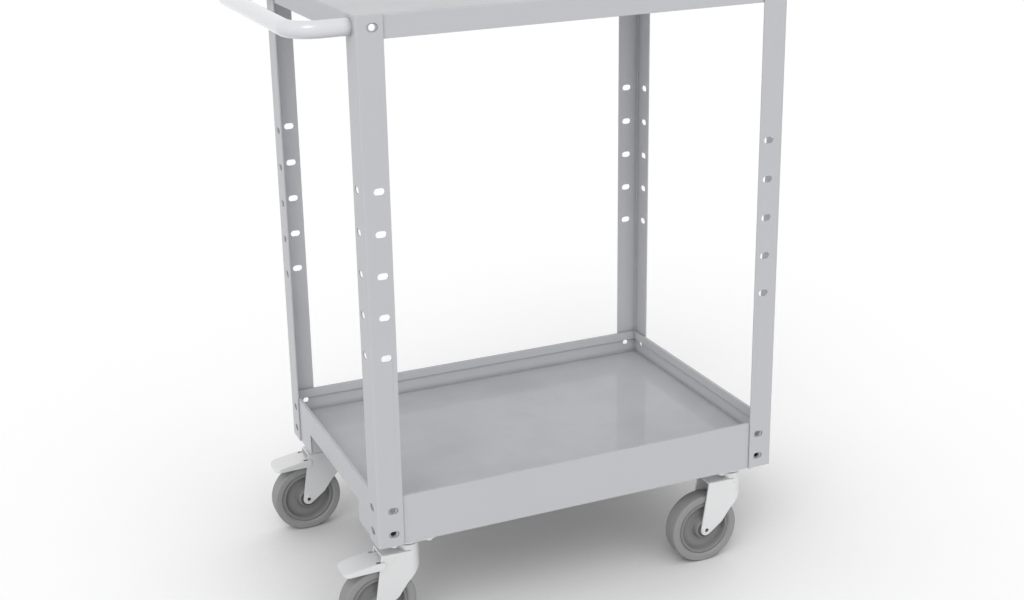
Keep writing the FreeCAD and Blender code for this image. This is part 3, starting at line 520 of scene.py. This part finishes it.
# Hexagon block with one face turned back to a circle, standing on its full face
def hexagon_head(tree, given, turned_up):
    corner = maths(tree, "MULTIPLY", given.outputs["Flats"], 0.5 / math.cos(math.pi / 6))
    height = given.outputs["Head Height"]
    prism = part_node(tree, "GeometryNodeMeshCylinder", Vertices=6, Radius=corner, Depth=height)
    face = maths(tree, "MULTIPLY", given.outputs["Flats"], 0.475)
    wide = maths(tree, "ADD", face, maths(tree, "MULTIPLY", height, math.sqrt(3.0)))
    top, bottom = (face, wide) if turned_up else (wide, face)
    cone = part_node(tree, "GeometryNodeMeshCone", Vertices=36, Depth=height, Radius_Top=top,
                     Radius_Bottom=bottom)
    drop = add_node(tree, "ShaderNodeCombineXYZ")
    feed(tree, maths(tree, "MULTIPLY", height, -0.5), drop.inputs["Z"])
    centred = part_node(tree, "GeometryNodeTransform", Geometry=cone, Translation=drop.outputs[0])
    head = add_node(tree, "GeometryNodeMeshBoolean", operation="INTERSECT", solver="EXACT")
    feed(tree, prism, head.inputs["Mesh 2"])
    feed(tree, centred, head.inputs["Mesh 2"])
    return head.outputs["Mesh"]


# Hexagon bolts, heads down: one at each point, which is the middle of the head
def make_plate_bolts():
    tree, given, made = shape_tree(
        "plate_bolts",
        [("Flats", FLOAT, 0.010), ("Head Height", FLOAT, 0.004), ("Shank Radius", FLOAT, 0.003),
         ("Shank Length", FLOAT, 0.0125)])
    head = hexagon_head(tree, given, False)
    length = given.outputs["Shank Length"]
    half_head = maths(tree, "MULTIPLY", given.outputs["Head Height"], 0.5)
    shank = part_node(tree, "GeometryNodeMeshCylinder", Vertices=32, Radius=given.outputs["Shank Radius"],
                      Depth=maths(tree, "ADD", length, half_head))
    rise = add_node(tree, "ShaderNodeCombineXYZ")
    feed(tree, maths(tree, "MULTIPLY", maths(tree, "ADD", length, half_head), 0.5), rise.inputs["Z"])
    raised = part_node(tree, "GeometryNodeTransform", Geometry=shank, Translation=rise.outputs[0])
    bolt = add_node(tree, "GeometryNodeMeshBoolean", operation="UNION", solver="EXACT")
    feed(tree, head, bolt.inputs["Mesh 2"])
    feed(tree, raised, bolt.inputs["Mesh 2"])
    bolts = part_node(tree, "GeometryNodeInstanceOnPoints", Points=given.outputs["Geometry"],
                      Instance=bolt.outputs["Mesh"])
    return close_tree(tree, given, made, bolts)


# Hexagon nuts: one at each point, which is the middle of the nut
def make_plate_nuts():
    tree, given, made = shape_tree(
        "plate_nuts",
        [("Flats", FLOAT, 0.010), ("Head Height", FLOAT, 0.005), ("Bore Radius", FLOAT, 0.0031)])
    block = hexagon_head(tree, given, True)
    drill = part_node(tree, "GeometryNodeMeshCylinder", Vertices=32, Radius=given.outputs["Bore Radius"],
                      Depth=maths(tree, "MULTIPLY", given.outputs["Head Height"], 1.5))
    nut = add_node(tree, "GeometryNodeMeshBoolean", operation="DIFFERENCE", solver="EXACT")
    feed(tree, block, nut.inputs["Mesh 1"])
    feed(tree, drill, nut.inputs["Mesh 2"])
    nuts = part_node(tree, "GeometryNodeInstanceOnPoints", Points=given.outputs["Geometry"],
                     Instance=nut.outputs["Mesh"])
    return close_tree(tree, given, made, nuts)


# Ring of bearing balls round each point
def make_ball_ring():
    tree, given, made = shape_tree(
        "ball_ring",
        [("Balls", INTEGER, 9), ("Ring Radius", FLOAT, 0.01075), ("Ball Radius", FLOAT, 0.0029)])
    places = part_node(tree, "GeometryNodeMeshCircle", Vertices=given.outputs["Balls"],
                       Radius=given.outputs["Ring Radius"])
    ball = part_node(tree, "GeometryNodeMeshUVSphere", Segments=24, Rings=14,
                     Radius=given.outputs["Ball Radius"])
    ring = part_node(tree, "GeometryNodeInstanceOnPoints", Points=places, Instance=ball)
    rings = part_node(tree, "GeometryNodeInstanceOnPoints", Points=given.outputs["Geometry"], Instance=ring)
    return close_tree(tree, given, made, rings)


# Middle of a node's box
def middle(node):
    low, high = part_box(node)
    return (Vector(low) + Vector(high)) / 2


# Push handle: one line from post to post, bent twice
handle_low, handle_high = (Vector(end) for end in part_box("push_handle"))
handle_level = (handle_low.z + handle_high.z) / 2
grip_x = handle_low.x + TUBE_RADIUS
arm_front, arm_back = handle_low.y + TUBE_RADIUS, handle_high.y - TUBE_RADIUS
handle_line = [
    (handle_high.x, arm_front, handle_level), (grip_x, arm_front, handle_level),
    (grip_x, arm_back, handle_level), (handle_high.x, arm_back, handle_level),
]
fit(grown("push_handle_tube", make_bent_tube(), handle_line, [(0, 1), (1, 2), (2, 3)], handle_paint,
          Tube_Radius=TUBE_RADIUS, Wall=TUBE_WALL, Bend_Radius=TUBE_BEND), "push_handle")

# Caster fastenings: four bolts and nuts round each king pin
bolt_low, bolt_high = (Vector(end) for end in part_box("caster_bolts"))
nut_low = Vector(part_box("caster_nuts")[0])
bolt_places, nut_places = [], []
for corner in CORNERS:
    pin = middle(f"kingpin_{corner}")
    for across in (-BOLT_X, BOLT_X):
        for along in (-BOLT_Y, BOLT_Y):
            bolt_places.append((pin.x + across, pin.y + along, bolt_low.z + BOLT_HEAD / 2))
            nut_places.append((pin.x + across, pin.y + along, nut_low.z + NUT_HEIGHT / 2))
fit(grown("caster_plate_bolts", make_plate_bolts(), bolt_places, [], zinc,
          Head_Height=BOLT_HEAD, Shank_Length=bolt_high.z - bolt_low.z - BOLT_HEAD), "caster_bolts")
fit(grown("caster_plate_nuts", make_plate_nuts(), nut_places, [], zinc,
          Head_Height=NUT_HEIGHT), "caster_nuts")

# Bearing balls between the races
BALL_RING = make_ball_ring()
for corner in CORNERS:
    balls = f"race_balls_{corner}"
    fit(grown(f"bearing_{corner}", BALL_RING, [tuple(middle(balls))], [], zinc), balls)


# Section corners rounded with arcs: each corner is across, radius, round
def rounded_section(corners, steps=5):
    section = []
    for index, (across, radius, ease) in enumerate(corners):
        here = Vector((across, radius))
        before = Vector(corners[index - 1][:2]) - here
        after = Vector(corners[(index + 1) % len(corners)][:2]) - here
        if not ease:
            section.append(here)
            continue
        before.normalize()
        after.normalize()
        half = before.angle(after) / 2
        centre = here + (before + after).normalized() * (ease / math.sin(half))
        first = here + before * (ease / math.tan(half)) - centre
        last = here + after * (ease / math.tan(half)) - centre
        sweep = first.angle_signed(last)
        for step in range(steps + 1):
            section.append(centre + Matrix.Rotation(-sweep * step / steps, 2) @ first)
    return section


# Ring turned about an axle along y from a closed section
def turned(name, section, centre, steps=112):
    work = bmesh.new()
    rings = []
    for step in range(steps):
        angle = 2 * math.pi * step / steps
        out = Vector((math.cos(angle), 0, math.sin(angle)))
        points = [centre + Vector((0, across, 0)) + out * radius for across, radius in section]
        rings.append([work.verts.new(point) for point in points])
    for step, ring in enumerate(rings):
        following = rings[(step + 1) % steps]
        for index in range(len(section)):
            work.faces.new((ring[index - 1], ring[index], following[index], following[index - 1]))
    bmesh.ops.recalc_face_normals(work, faces=work.faces[:])
    mesh = bpy.data.meshes.new(name)
    work.to_mesh(mesh)
    work.free()
    mesh.shade_smooth()
    mesh.set_sharp_from_angle(angle=math.radians(WHEEL_CRISP))
    return new_piece(name, mesh)


# Half of a section mirrored across the wheel's middle
def both_sides(half):
    return half + [(-across, radius, ease) for across, radius, ease in reversed(half)]


# Wheel sections, each corner as distance from the middle, radius and round
TYRE_SECTION = rounded_section(both_sides([
    (10.5 * MM, 40.0 * MM, 0), (10.5 * MM, 40.7 * MM, 0.3 * MM), (12.5 * MM, 42.6 * MM, 0.9 * MM),
    (12.5 * MM, 52.2 * MM, 2.6 * MM), (4.0 * MM, 52.5 * MM, 0),
]))
CORE_SECTION = rounded_section(both_sides([
    (13.5 * MM, 9.05 * MM, 0.5 * MM), (13.5 * MM, 12.9 * MM, 0.8 * MM), (12.4 * MM, 14.3 * MM, 0.8 * MM),
    (4.5 * MM, 16.9 * MM, 2.4 * MM), (4.5 * MM, 33.2 * MM, 1.2 * MM), (11.0 * MM, 35.4 * MM, 0.8 * MM),
    (11.0 * MM, 38.7 * MM, 0.8 * MM), (9.6 * MM, 39.4 * MM, 0.4 * MM), (9.6 * MM, 39.95 * MM, 0),
]))
for corner in CORNERS:
    axle = middle(f"tyre_{corner}")
    fit(turned(f"tyre_ring_{corner}", TYRE_SECTION, axle), f"tyre_{corner}")
    fit(turned(f"wheel_disc_{corner}", CORE_SECTION, axle), f"wheel_core_{corner}")

# Pressed, folded and turned parts with their edges eased
for corner in CORNERS:
    eased(f"post_{corner}", SHEET_EASE)
    eased(f"caster_mount_{corner}", SHEET_EASE)
    eased(f"top_plate_{corner}", SHEET_EASE)
    eased(f"fork_{corner}", SHEET_EASE)
    eased(f"axle_{corner}", AXLE_EASE)
eased("bottom_tray", SHEET_EASE)
eased("top_shelf", SHEET_EASE)
for corner in BRAKED:
    eased(f"brake_pedal_{corner}", PEDAL_EASE)
    eased(f"brake_shoe_{corner}", PEDAL_EASE)

# Remaining CAD nodes keep their shape and take their finish
for name, slot in slot_of_node.items():
    nodes[name].data.materials.clear()
    nodes[name].data.materials.append(FINISHES[slot])


# One for rays that show the background to the camera, in gloss or through glass, nought for the rest
def seen_rays(tree):
    rays = add_node(tree, "ShaderNodeLightPath")
    seen = maths(tree, "ADD", rays.outputs["Is Camera Ray"], rays.outputs["Is Glossy Ray"], clamp=True)
    return maths(tree, "ADD", seen, rays.outputs["Is Transmission Ray"], clamp=True)


# Pale floor, matt, with a painted shadow that darkens it near the trolley where ambient occlusion finds
# shelter, unseen from below
def make_floor_paint():
    paint = bpy.data.materials.new("pale_studio_floor")
    paint.use_nodes = True
    tree = paint.node_tree
    tree.nodes.clear()
    seen = seen_rays(tree)
    near = add_node(tree, "ShaderNodeAmbientOcclusion", samples=8)
    near.inputs["Distance"].default_value = FLOOR_REACH
    paleness = maths(tree, "ADD", maths(tree, "MULTIPLY", seen, FLOOR_WHITE - FLOOR_BOUNCE), FLOOR_BOUNCE)
    # Painted shadow: the floor's colour is darkened by its ambient occlusion near the trolley
    painted_shadow = maths(tree, "MULTIPLY", maths(tree, "SUBTRACT", 1.0, near.outputs["AO"]), FLOOR_PAINTED_SHADOW)
    paleness = maths(tree, "MULTIPLY", paleness, maths(tree, "SUBTRACT", 1.0, painted_shadow))
    matt = add_node(tree, "ShaderNodeBsdfDiffuse")
    feed(tree, paleness, matt.inputs["Color"])
    # The glow that keeps the open floor white fades in the painted shadow
    open_floor = maths(tree, "POWER", near.outputs["AO"], 2.0)
    lift = maths(tree, "MULTIPLY", maths(tree, "MULTIPLY", seen, open_floor), FLOOR_LIFT)
    glow = add_node(tree, "ShaderNodeEmission")
    feed(tree, lift, glow.inputs["Strength"])
    whole = add_node(tree, "ShaderNodeAddShader")
    feed(tree, matt.outputs[0], whole.inputs[0])
    feed(tree, glow.outputs[0], whole.inputs[1])
    clear = add_node(tree, "ShaderNodeBsdfTransparent")
    side = add_node(tree, "ShaderNodeNewGeometry")
    one_sided = add_node(tree, "ShaderNodeMixShader")
    feed(tree, side.outputs["Backfacing"], one_sided.inputs[0])
    feed(tree, whole.outputs[0], one_sided.inputs[1])
    feed(tree, clear.outputs[0], one_sided.inputs[2])
    result = add_node(tree, "ShaderNodeOutputMaterial")
    feed(tree, one_sided.outputs[0], result.inputs["Surface"])
    return paint


def lay_floor():
    mesh = bpy.data.meshes.new("studio_floor")
    mesh.from_pydata(
        [(-FLOOR_SIDE, -FLOOR_SIDE, 0), (FLOOR_SIDE, -FLOOR_SIDE, 0), (FLOOR_SIDE, FLOOR_SIDE, 0),
         (-FLOOR_SIDE, FLOOR_SIDE, 0)], [], [(0, 1, 2, 3)])
    floor = new_piece("studio_floor", mesh)
    mesh.materials.append(make_floor_paint())


# White where it is seen, and otherwise a soft light that is stronger from the front and the left
def hang_sky():
    world = bpy.data.worlds.new("studio")
    bpy.context.scene.world = world
    world.use_nodes = True
    tree = world.node_tree
    tree.nodes.clear()
    seen = seen_rays(tree)
    sky = add_node(tree, "ShaderNodeBackground")
    sky.inputs["Color"].default_value = (1.0, 1.0, 1.0, 1.0)
    heading = add_node(tree, "ShaderNodeSeparateXYZ")
    feed(tree, add_node(tree, "ShaderNodeTexCoord").outputs["Generated"], heading.inputs[0])
    front = maths(tree, "MAXIMUM", maths(tree, "MULTIPLY", heading.outputs["Y"], -SKY_FRONT), 0.0)
    left = maths(tree, "MAXIMUM", maths(tree, "MULTIPLY", heading.outputs["X"], -SKY_LEFT), 0.0)
    lit = maths(tree, "ADD", maths(tree, "ADD", front, left), SKY_EVEN)
    unseen = maths(tree, "SUBTRACT", 1.0, seen)
    feed(tree, maths(tree, "ADD", seen, maths(tree, "MULTIPLY", unseen, lit)), sky.inputs["Strength"])
    result = add_node(tree, "ShaderNodeOutputWorld")
    feed(tree, sky.outputs[0], result.inputs["Surface"])


def hang_lamp():
    lamp_data = bpy.data.lights.new("soft_key", "SUN")
    lamp_data.energy = LAMP_STRENGTH
    lamp_data.angle = math.radians(LAMP_SPREAD)
    lamp = bpy.data.objects.new("soft_key", lamp_data)
    lamp.rotation_euler = Vector(LAMP_FROM).to_track_quat("Z", "Y").to_euler()
    bpy.context.scene.collection.objects.link(lamp)


def set_camera():
    camera_data = bpy.data.cameras.new("photo_camera")
    camera_data.lens = CAMERA_LENS
    camera_data.sensor_width = CAMERA_SENSOR
    camera_data.shift_x, camera_data.shift_y = CAMERA_SHIFT
    camera_data.clip_start, camera_data.clip_end = CAMERA_CLIP
    camera = bpy.data.objects.new("photo_camera", camera_data)
    turn = Matrix.Rotation(math.radians(CAMERA_TURN), 4, "Z")
    tilt = Matrix.Rotation(math.radians(90.0 - CAMERA_TILT), 4, "X")
    roll = Matrix.Rotation(math.radians(-CAMERA_ROLL), 4, "Z")
    camera.matrix_world = Matrix.Translation(CAMERA_PLACE) @ turn @ tilt @ roll
    bpy.context.scene.collection.objects.link(camera)
    bpy.context.scene.camera = camera


lay_floor()
hang_sky()
hang_lamp()
set_camera()
bpy.context.scene.view_settings.view_transform = "Standard"
